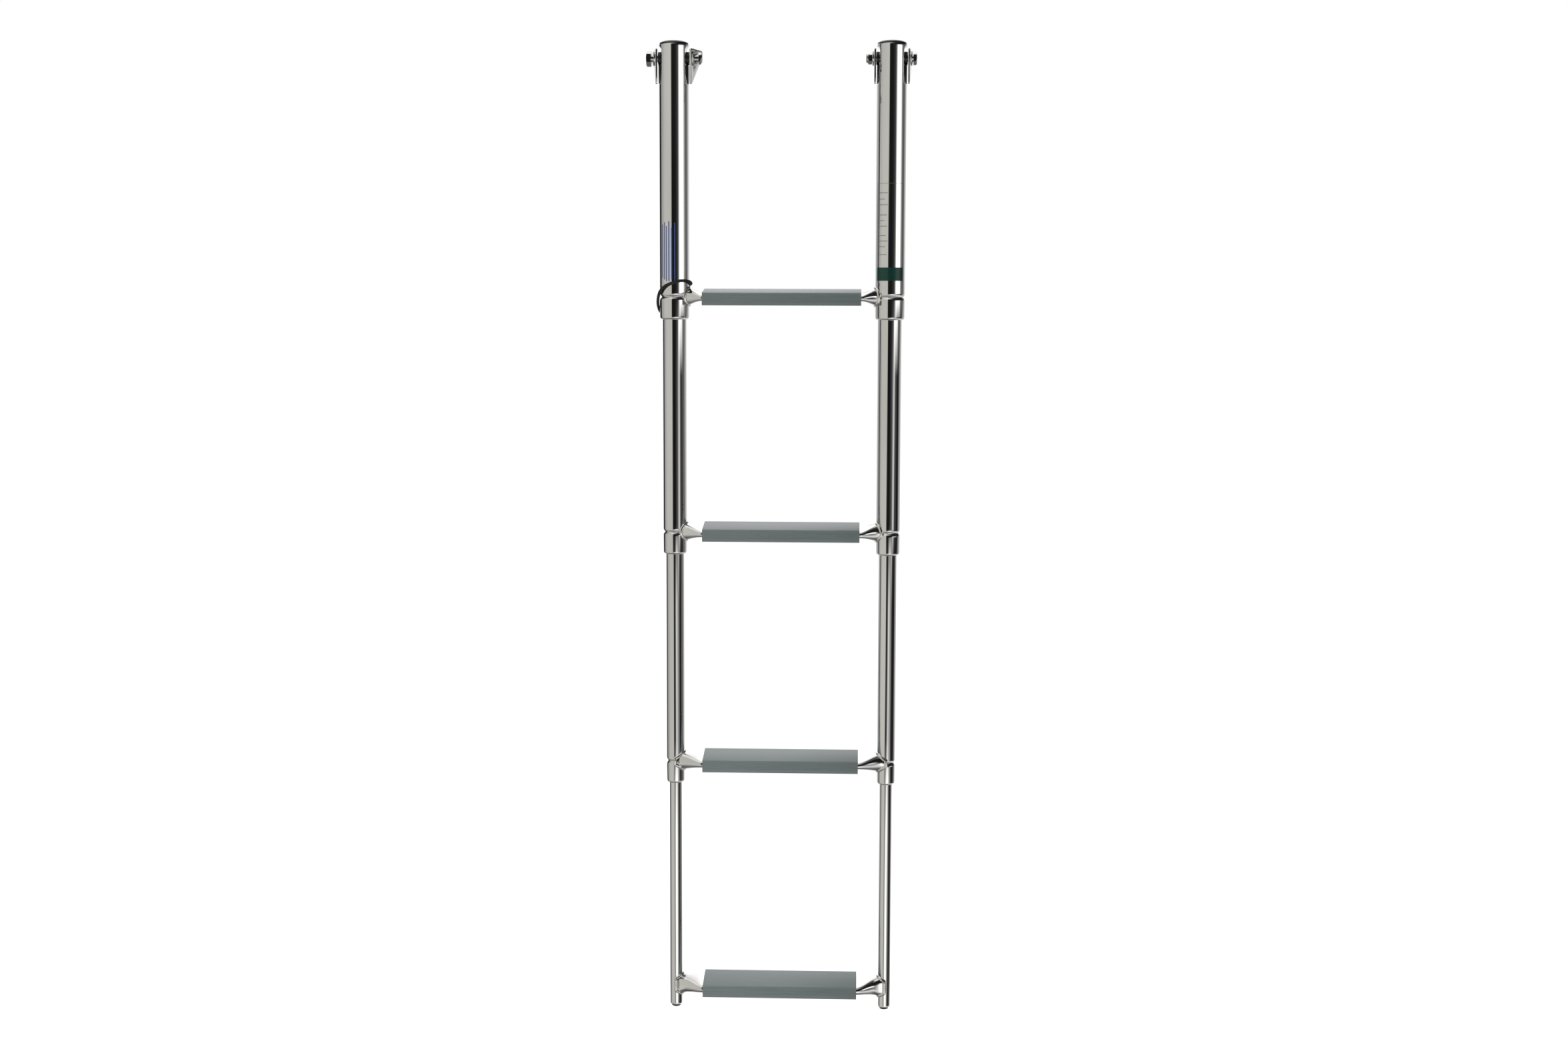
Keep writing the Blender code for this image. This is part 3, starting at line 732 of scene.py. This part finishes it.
def make_shade_pad(side, out, label, materials):
    """Black pad that fills a pressed flat below the hinge's spacer: a dark sheet put where the pressed
    dimple lies in shade, as painted shade.
    """
    bm = bmesh.new()
    rings = []
    for i in range(PAD_RINGS + 1):
        rise = PAD_TOP - (PAD_TOP + FLAT_BELOW - PAD_END) * i / PAD_RINGS
        inner = RADIUS[0] - flat_depth(rise) + PAD_GAP
        outer = max(inner + PAD_SKIN, RADIUS[0] - PAD_SKIN)
        half = PAD_HALF * math.sqrt(max(0.05, flat_depth(rise) / flat_depth(0.0)))
        edge = min(PAD_EDGE, 0.4 * (outer - inner))
        section = [(inner, -half), (outer - edge, -half), (outer, edge - half), (outer, half - edge),
                   (outer - edge, half), (inner, half)]
        rings.append([bm.verts.new((out * x, y, rise)) for x, y in section])
    loft(bm, rings)
    cap(bm, rings)
    shift(bm, (side * HALF_SPACING, 0.0, 0.0))
    # painted shade: this black pad stands in for the shadow inside the pressed dimple
    add_piece(f"flat_shade_pad_{label}", bm, materials["black"], "stage_1")


def make_end_plug(side, label, materials):
    """Domed black plug in the open top of a first-stage stile."""
    low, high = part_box(f"end_plug_{label}")
    rim = RADIUS[0] - PLUG_RIM
    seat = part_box(f"stile_1_{label}")[1].z + PLUG_SEAT
    rise = high.z - seat
    angles = [math.radians(7.5 * i) for i in range(12)]
    dome = [(rim * math.cos(a), seat + rise * math.sin(a)) for a in angles]
    spigot = RADIUS[0] - WALL - PLUG_GAP
    bm = turned([(spigot, low.z), (spigot, seat)] + dome, closed=False)
    shift(bm, (side * HALF_SPACING, 0.0, 0.0))
    node = f"end_plug_{label}"
    add_piece(f"top_plug_{label}", bm, materials["black"], "stage_1", [node])


def make_foot_plug(side, label, materials):
    """Black plug that closes the rolled lower end of a last-stage stile."""
    low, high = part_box(f"foot_plug_{label}")
    stem = RADIUS[-1] - ROLL_RADIUS - PLUG_GAP
    flange = (high.x - low.x) / 2.0
    seat = GROOVE[-1] - RIM_DROP - PLUG_SEAT
    foot = arc((flange - (seat - low.z), seat), seat - low.z, 0.0, -90.0, 6)
    face = (stem - PLUG_FACE, low.z - PLUG_CROWN)
    bm = turned([(stem, high.z), (stem, seat)] + foot + [face], segments=48, closed=False)
    shift(bm, (side * HALF_SPACING, 0.0, 0.0))
    node = f"foot_plug_{label}"
    add_piece(f"bottom_plug_{label}", bm, materials["black"], "stage_4", [node])


# ---------------------------------------------------------------- steps

def section_size(stage, reach):
    """Height, depth and tilt of a step tube at a distance from the stile's axis."""
    flat_start = HALF_SPACING - TREAD_HALF - STEP_FLAT_LEAD
    share = (reach - ROOT_REACH[stage]) / (flat_start - ROOT_REACH[stage])
    share = min(1.0, max(0.0, share))
    blend = share * share * (3.0 - 2.0 * share) * 0.5 + share * 0.5
    height = ROOT_HEIGHT[stage] + (FLAT_HEIGHT[stage] - ROOT_HEIGHT[stage]) * blend
    depth = ROOT_DEPTH[stage] + (FLAT_DEPTH - ROOT_DEPTH[stage]) * blend
    return height, depth, TREAD_TILT * blend


def section_point(angle, height, depth, tilt, inset):
    """Point (y, z) at an angle round a round-ended oval."""
    half_height = height / 2.0 - inset
    half_depth = depth / 2.0 - inset
    corner = min(half_height, half_depth)
    y = math.cos(angle) * corner + math.copysign(half_depth - corner, math.cos(angle))
    z = math.sin(angle) * corner + math.copysign(half_height - corner, math.sin(angle))
    return y * math.cos(tilt) - z * math.sin(tilt), y * math.sin(tilt) + z * math.cos(tilt)


def saddle_reach(stage, angle, inset):
    """Distance from the stile's axis at which a line along the step tube meets the stile."""
    reach = RADIUS[stage]
    for _ in range(SADDLE_ROUNDS):
        y, _z = section_point(angle, *section_size(stage, reach), inset)
        reach = 0.5 * reach + 0.5 * math.sqrt(max(RADIUS[stage] ** 2 - y * y, 0.0))
    return reach


def step_half(bm, stage, side, inset, centre_z):
    """One wall of half a step tube, as rings from the stile's surface to the tread's middle."""
    angles = [2.0 * math.pi * (i + 0.5) / STEP_SEGMENTS for i in range(STEP_SEGMENTS)]
    starts = [saddle_reach(stage, angle, inset) for angle in angles]
    flat = HALF_SPACING - TREAD_HALF + STEP_FLAT_LAP
    rings = []
    for k in range(STEP_STATIONS + 1):
        ring = []
        for angle, start in zip(angles, starts):
            reach = start + (flat - start) * k / STEP_STATIONS
            y, z = section_point(angle, *section_size(stage, reach), inset)
            ring.append(bm.verts.new((side * (HALF_SPACING - reach), y, centre_z + z)))
        rings.append(ring)
    loft(bm, rings)
    return rings


def make_step_tube(stage, materials):
    """Polished tube, saddled to both stiles and pressed flat through the tread."""
    bm = bmesh.new()
    centre_z = GROOVE[stage] + STEP_RISE
    walls = []
    for inset in (0.0, WALL):
        halves = [step_half(bm, stage, side, inset, centre_z) for side, _ in SIDES]
        bridge(bm, halves[0][-1], halves[1][-1])
        walls.append(halves)
    routes = []
    for end in range(2):
        bridge(bm, walls[0][end][0], walls[1][end][0])
        routes.append([vert.co.copy() for vert in walls[0][end][0]])
    node = f"step_tube_{stage + 1}"
    body = f"stage_{stage + 1}"
    add_piece(f"step_bar_{stage + 1}", bm, materials["step"], body, [node])
    for route, (side, label) in zip(routes, SIDES):
        make_weld(stage, label, route, Vector((side * HALF_SPACING, 0.0, centre_z)), materials)


def make_weld(stage, label, route, centre, materials):
    """Rippled weld bead along the seam between a step tube and its stile."""
    bm = bmesh.new()
    points = resample(route, WELD_POINTS)
    count = len(points)
    rings = []
    for i, point in enumerate(points):
        along = (points[(i + 1) % count] - points[i - 1]).normalized()
        outward = Vector((0.0, point.y, point.z - centre.z)).normalized()
        across = along.cross(outward).normalized()
        outward = across.cross(along).normalized()
        ripple = 0.025 * math.sin(2.0 * math.pi * i / 4.0) + 0.03 * math.sin(0.37 * i)
        radius = WELD_RADIUS * (1.0 + ripple)
        ring = []
        for k in range(WELD_SIDES):
            turn = 2.0 * math.pi * k / WELD_SIDES
            spoke = outward * math.sin(turn) * WELD_FLATNESS + across * math.cos(turn)
            ring.append(bm.verts.new(point + spoke * radius))
        rings.append(ring)
    loft(bm, rings + rings[:1])
    add_piece(f"weld_{stage + 1}_{label}", bm, materials["weld"], f"stage_{stage + 1}")


def resample(route, count):
    """Evenly spaced points round a closed route."""
    lengths = [0.0]
    for i in range(len(route)):
        lengths.append(lengths[-1] + (route[(i + 1) % len(route)] - route[i]).length)
    points = []
    k = 0
    for i in range(count):
        want = lengths[-1] * i / count
        while lengths[k + 1] < want:
            k += 1
        share = (want - lengths[k]) / (lengths[k + 1] - lengths[k])
        points.append(route[k].lerp(route[(k + 1) % len(route)], share))
    return points


def tread_outline():
    """Section of the tread extrusion, as (y, z) in millimetres from the step tube's centre."""
    points = arc((-24.4, 3.9), 1.0, 100.0, 172.0, 4)
    lean = (FRONT_NOSE[0] - FRONT_TOP[0]) / (FRONT_NOSE[1] - FRONT_TOP[1])
    for rib in range(RIB_COUNT):
        z = FRONT_TOP[1] - RIB_START - rib * RIB_PITCH
        for drop, dip in RIB_SECTION:
            points.append((FRONT_TOP[0] + lean * (z - drop - FRONT_TOP[1]) + dip, z - drop))
    for back, drop in ((0.0, 0.0), (0.05, 0.35), (0.45, 0.55), (0.35, 0.9)):
        points.append((FRONT_NOSE[0] + back, FRONT_NOSE[1] - drop))
    points += arc((FRONT_LOW[0] + 1.2, FRONT_LOW[1] - 0.5), 1.2, 180.0, 270.0, 4)
    points += [(-21.0, -11.3), (20.0, -7.0)]
    points += arc((24.2, -4.2), 2.0, -80.0, 0.0, 4)
    points += arc((24.6, 8.7), 1.6, 0.0, 96.0, 5)
    return points


def make_tread(stage, materials):
    """Ribbed tread extrusion with straight-cut, lightly broken ends."""
    node = f"tread_{stage + 1}"
    low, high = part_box(node)
    centre_z = GROOVE[stage] + STEP_RISE
    outline = [(y * MM, z * MM) for y, z in tread_outline()]
    middle_y = sum(y for y, _ in outline) / len(outline)
    middle_z = sum(z for _, z in outline) / len(outline)
    stations = ((low.x, TREAD_BREAK), (low.x + TREAD_BREAK, 0.0), (high.x - TREAD_BREAK, 0.0),
                (high.x, TREAD_BREAK))
    bm = bmesh.new()
    rings = []
    for x, shrink in stations:
        ring = []
        for y, z in outline:
            inward = Vector((middle_y - y, middle_z - z)).normalized() * shrink
            ring.append(bm.verts.new((x, y + inward.x, centre_z + z + inward.y)))
        rings.append(ring)
    loft(bm, rings)
    cap(bm, rings)
    name = f"tread_cover_{stage + 1}"
    body = f"stage_{stage + 1}"
    tread = add_piece(name, bm, materials["tread"], body, [node], sharp=50.0)
    carve(tread, slot_form(stage, low.x - SLOT_OVERRUN, high.x + SLOT_OVERRUN, centre_z))


def slot_form(stage, start, end, centre_z):
    """Solid a little larger than the flattened tube, which the tread slides over."""
    bm = bmesh.new()
    sides = 48
    angles = [2.0 * math.pi * (i + 0.5) / sides for i in range(sides)]
    size = (FLAT_HEIGHT[stage], FLAT_DEPTH, TREAD_TILT)
    rings = []
    for x in (start, end):
        section = [section_point(angle, *size, -SLOT_GAP) for angle in angles]
        rings.append([bm.verts.new((x, y, centre_z + z)) for y, z in section])
        bm.faces.new(rings[-1])
    bridge(bm, rings[0], rings[1])
    return bm


# ---------------------------------------------------------------- hinge hardware

def box_centre(node):
    low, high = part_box(node)
    return (low + high) / 2.0


def make_ear(label, materials):
    """Hinge ear with its edges broken, taken from the CAD plate."""
    node = f"hinge_ear_{label}"
    bm = bmesh.new()
    bm.from_mesh(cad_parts[node].data)
    bmesh.ops.remove_doubles(bm, verts=bm.verts[:], dist=1e-6)
    bmesh.ops.dissolve_limit(bm, angle_limit=math.radians(1.0), verts=bm.verts[:], edges=bm.edges[:])
    corner = math.radians(60.0)
    rim = [edge for edge in bm.edges if len(edge.link_faces) == 2 and edge.calc_face_angle() > corner]
    bmesh.ops.bevel(bm, geom=rim, offset=EAR_BEVEL, segments=3, profile=0.5, affect="EDGES")
    add_piece(f"ear_{label}", bm, materials["plate"], "brackets", [node], sharp=30.0)


def washer_profile(inner, outer, thickness):
    """Flat washer section with rounded outer edges."""
    half = thickness / 2.0
    bore = inner + WASHER_BREAK
    rim = outer - WASHER_EDGE
    rounded = arc((rim, half - WASHER_EDGE), WASHER_EDGE, 90.0, 0.0, 4)
    rounded += arc((rim, -half + WASHER_EDGE), WASHER_EDGE, 0.0, -90.0, 4)
    upper = [(inner, half - WASHER_BREAK), (bore, half)]
    lower = [(bore, -half), (inner, -half + WASHER_BREAK)]
    return upper + rounded + lower


def turn_to_hinge(bm, out, splay=0.0):
    """Turns a piece made along Z to lie along the hinge axis, then splays it with its ear."""
    bm.transform(Matrix.Rotation(out * math.pi / 2.0, 4, "Y"))
    bm.transform(Matrix.Rotation(-out * math.radians(splay), 4, "Z"))
    return bm


def make_washer(label, out, materials):
    node = f"washer_{label}"
    low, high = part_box(node)
    profile = washer_profile(WASHER_HOLE, (high.z - low.z) / 2.0, WASHER_THICKNESS)
    bm = turn_to_hinge(turned(profile, WASHER_SIDES), out, SPLAY[label])
    shift(bm, box_centre(node))
    add_piece(f"ring_{label}", bm, materials["satin"], "brackets", [node])


def make_spacer(label, out, materials):
    node = f"spacer_{label}"
    low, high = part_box(node)
    profile = washer_profile(SHANK_RADIUS + SPACER_BORE_GAP, (high.z - low.z) / 2.0, high.x - low.x)
    bm = turn_to_hinge(turned(profile, WASHER_SIDES), out)
    shift(bm, box_centre(node))
    add_piece(f"collar_{label}", bm, materials["black"], "brackets", [node])


def hex_rings(bm, corner, start, end, chamfered_start):
    """Rings of a hexagon from start up to end along Z, with its corners chamfered round.

    Each ring of the plan has a height and a reach, as a share of the distance to a flat. A reach below
    1 is a round ring on an end face, and one above 1 follows the hexagon.
    """
    flat = corner * math.cos(math.radians(30.0))
    seat = HEX_SEAT if chamfered_start else HEX_CORNER
    rings = []
    for z, reach in ((start, seat), (start, HEX_CORNER), (end, HEX_CORNER), (end, HEX_FACE)):
        ring = []
        for i in range(FASTENER_SIDES):
            angle = 2.0 * math.pi * i / FASTENER_SIDES
            facing = math.radians((math.degrees(angle) % 60.0) - 30.0)
            radius = flat / math.cos(facing)
            lift = 0.0
            if reach < 1.0:
                radius = min(radius, flat * reach)
            elif z == end or chamfered_start:
                chamfer = max(0.0, radius - flat * HEX_CHAMFER_START) * HEX_CHAMFER_SLOPE
                lift = -chamfer if z == end else chamfer
            ring.append(bm.verts.new((radius * math.cos(angle), radius * math.sin(angle), z + lift)))
        rings.append(ring)
    loft(bm, rings)
    return rings


def make_bolt(label, out, materials):
    """Hex bolt: chamfered head, plain shank and a threaded tip beyond the nut."""
    node = f"pivot_bolt_{label}"
    low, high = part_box(node)
    stile_x = out * HALF_SPACING
    head_end = abs(high.x if out > 0 else low.x) - HALF_SPACING
    tip = HALF_SPACING - (low.x if out > 0 else -high.x)
    bm = bmesh.new()
    head_start = head_end - HEAD_HEIGHT[label]
    head = hex_rings(bm, HEAD_RADIUS[label], head_start, head_end, False)
    bm.faces.new(head[-1])
    thread_start = -tip + THREAD_LENGTH
    shank = [(SHANK_RADIUS, head_start), (SHANK_RADIUS, thread_start)]
    for turn in range(THREAD_TURNS):
        z = thread_start - turn * THREAD_PITCH
        shank.append((SHANK_RADIUS - THREAD_DEPTH, z - 0.5 * THREAD_PITCH))
        shank.append((SHANK_RADIUS, z - THREAD_PITCH))
    shank.append((SHANK_RADIUS - TIP_CHAMFER, -tip))
    rings = [round_ring(bm, radius, z, FASTENER_SIDES) for radius, z in shank]
    bridge(bm, head[0], rings[0])
    loft(bm, rings)
    bm.faces.new(rings[-1])
    turn_to_hinge(bm, out)
    shift(bm, (stile_x, 0.0, 0.0))
    add_piece(f"bolt_{label}", bm, materials["satin"], "brackets", [node], sharp=25.0)


def make_nut(label, out, materials):
    """Lock nut: chamfered hexagon with a domed collar."""
    node = f"lock_nut_{label}"
    low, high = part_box(node)
    length = high.x - low.x
    stile_x = -out * HALF_SPACING
    start = abs((low.x if out > 0 else high.x) - stile_x)
    bm = bmesh.new()
    end = start + length
    body = hex_rings(bm, NUT_RADIUS, start, start + NUT_BODY * length, True)
    collar = NUT_COLLAR * NUT_RADIUS
    bore = SHANK_RADIUS + NUT_BORE_GAP
    profile = [(collar, start + (NUT_BODY + 0.01) * length)]
    profile += arc((collar - NUT_CROWN, end - NUT_CROWN), NUT_CROWN, 0.0, 90.0, 5)
    profile.append((bore + NUT_BORE_BREAK[0], end - 0.1 * MM))
    profile += [(bore, end - NUT_BORE_BREAK[1]), (bore, start)]
    rings = [round_ring(bm, radius, z, FASTENER_SIDES) for radius, z in profile]
    bridge(bm, body[-1], rings[0])
    loft(bm, rings)
    bridge(bm, rings[-1], body[0])
    turn_to_hinge(bm, out)
    shift(bm, (stile_x, 0.0, 0.0))
    add_piece(f"nut_{label}", bm, materials["satin"], "brackets", [node], sharp=25.0)


# ---------------------------------------------------------------- elastic loop and stickers

def loop_point(place):
    """Point on the elastic loop; place runs from 0 to the number of heights."""
    count = len(LOOP_HEIGHTS)
    k = int(place) % count
    t = place - int(place)
    a, b, c, d = (LOOP_HEIGHTS[(k + n) % count] for n in (-1, 0, 1, 2))
    bend = (2 * a - 5 * b + 4 * c - d) * t ** 2 + (3 * b - a - 3 * c + d) * t ** 3
    height = b + 0.5 * ((c - a) * t + bend)
    angle = -2.0 * math.pi * place / count
    reach = RADIUS[0] + LOOP_RADIUS + LOOP_GAP
    x = -HALF_SPACING + reach * math.cos(angle)
    return Vector((x, reach * math.sin(angle), GROOVE[0] + height * MM))


def make_loop(materials):
    """Closed elastic cord, slung round the left stile and over the first step tube."""
    route = [loop_point(len(LOOP_HEIGHTS) * i / LOOP_POINTS) for i in range(LOOP_POINTS)]
    bm = bmesh.new()
    rings = []
    for i, point in enumerate(route):
        along = (route[(i + 1) % LOOP_POINTS] - route[i - 1]).normalized()
        outward = Vector((point.x + HALF_SPACING, point.y, 0.0)).normalized()
        up = along.cross(outward).normalized()
        outward = up.cross(along).normalized()
        ring = []
        for k in range(LOOP_SIDES):
            turn = 2.0 * math.pi * k / LOOP_SIDES
            spoke = outward * math.cos(turn) + up * math.sin(turn)
            ring.append(bm.verts.new(point + spoke * LOOP_RADIUS))
        rings.append(ring)
    loft(bm, rings + rings[:1])
    add_piece("cord_loop", bm, materials["elastic"], "stage_1", ["elastic_loop"])


def make_film(name, side, start, end, low, high, material):
    """Thin sticker wrapped on a top stile between two angles; 0 degrees faces the camera side."""
    bm = bmesh.new()
    steps = max(2, int((end - start) / FILM_STEP))
    walls = []
    for rise in FILM_RADII:
        radius = RADIUS[0] + rise
        columns = []
        for i in range(steps + 1):
            angle = math.radians(start + (end - start) * i / steps)
            x = side * HALF_SPACING + radius * math.sin(angle)
            y = -radius * math.cos(angle)
            columns.append([bm.verts.new((x, y, GROOVE[0] + z)) for z in (low, high)])
        walls.append(columns)
    for i in range(steps):
        for columns in walls:
            bm.faces.new(columns[i] + columns[i + 1][::-1])
        for k in (0, 1):
            bm.faces.new((walls[0][i][k], walls[0][i + 1][k], walls[1][i + 1][k], walls[1][i][k]))
    for i in (0, steps):
        bm.faces.new((walls[0][i][0], walls[0][i][1], walls[1][i][1], walls[1][i][0]))
    add_piece(name, bm, material, "stage_1")


def make_stickers(materials):
    """Plain colour bars in place of the printed stickers."""
    green, ink, blue = materials["green"], materials["ink"], materials["blue"]
    make_film("band_right", 1.0, LABEL_START, LABEL_END, 21.0 * MM, 38.0 * MM, green)
    make_film("line_right_low", 1.0, LABEL_START, LABEL_END, 144.0 * MM, 144.4 * MM, ink)
    for number, angle in enumerate((LABEL_START, LABEL_END - LABEL_LINE)):
        name = f"line_right_side_{number + 1}"
        make_film(name, 1.0, angle, angle + LABEL_LINE, 38.2 * MM, 143.8 * MM, ink)
    for number, (start, end, height) in enumerate(RIGHT_ROWS):
        name = f"row_right_{number + 1}"
        make_film(name, 1.0, start, end, height * MM, (height + ROW_HEIGHT) * MM, ink)
    for number, (angle, low, high) in enumerate(LEFT_BARS):
        make_film(f"bar_left_{number + 1}", -1.0, angle, angle + BAR_WIDTH, low * MM, high * MM, blue)


# ---------------------------------------------------------------- the whole ladder

def finish_hidden_nodes(materials):
    """Materials for the bushes, which stay as the CAD made them."""
    for name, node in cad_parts.items():
        if "bush" in name:
            node.data.materials.clear()
            node.data.materials.append(materials["bush"])


def make_ladder(materials):
    for stage in range(STAGES):
        for side, label in SIDES:
            make_stile(stage, side, label, materials)
        make_step_tube(stage, materials)
        make_tread(stage, materials)
    for side, label in SIDES:
        make_end_plug(side, label, materials)
        make_foot_plug(side, label, materials)
        for face, out in (("outer", side), ("inner", -side)):
            make_ear(f"{label}_{face}", materials)
            make_washer(f"{label}_{face}", out, materials)
            make_spacer(f"{label}_{face}", out, materials)
            make_shade_pad(side, out, f"{label}_{face}", materials)
        make_bolt(label, side, materials)
        make_nut(label, -side, materials)
    make_loop(materials)
    make_stickers(materials)
    finish_hidden_nodes(materials)


make_camera()
make_world()
make_floor()
make_flag()
make_softbox("key", place=(-1.6, -2.2, 2.0), size=1.8, power=16.0)
make_softbox("fill", place=(-0.5, -1.1, -1.3), size=0.5, power=4.0)
bpy.context.scene.view_settings.view_transform = "Standard"
make_ladder(make_materials())
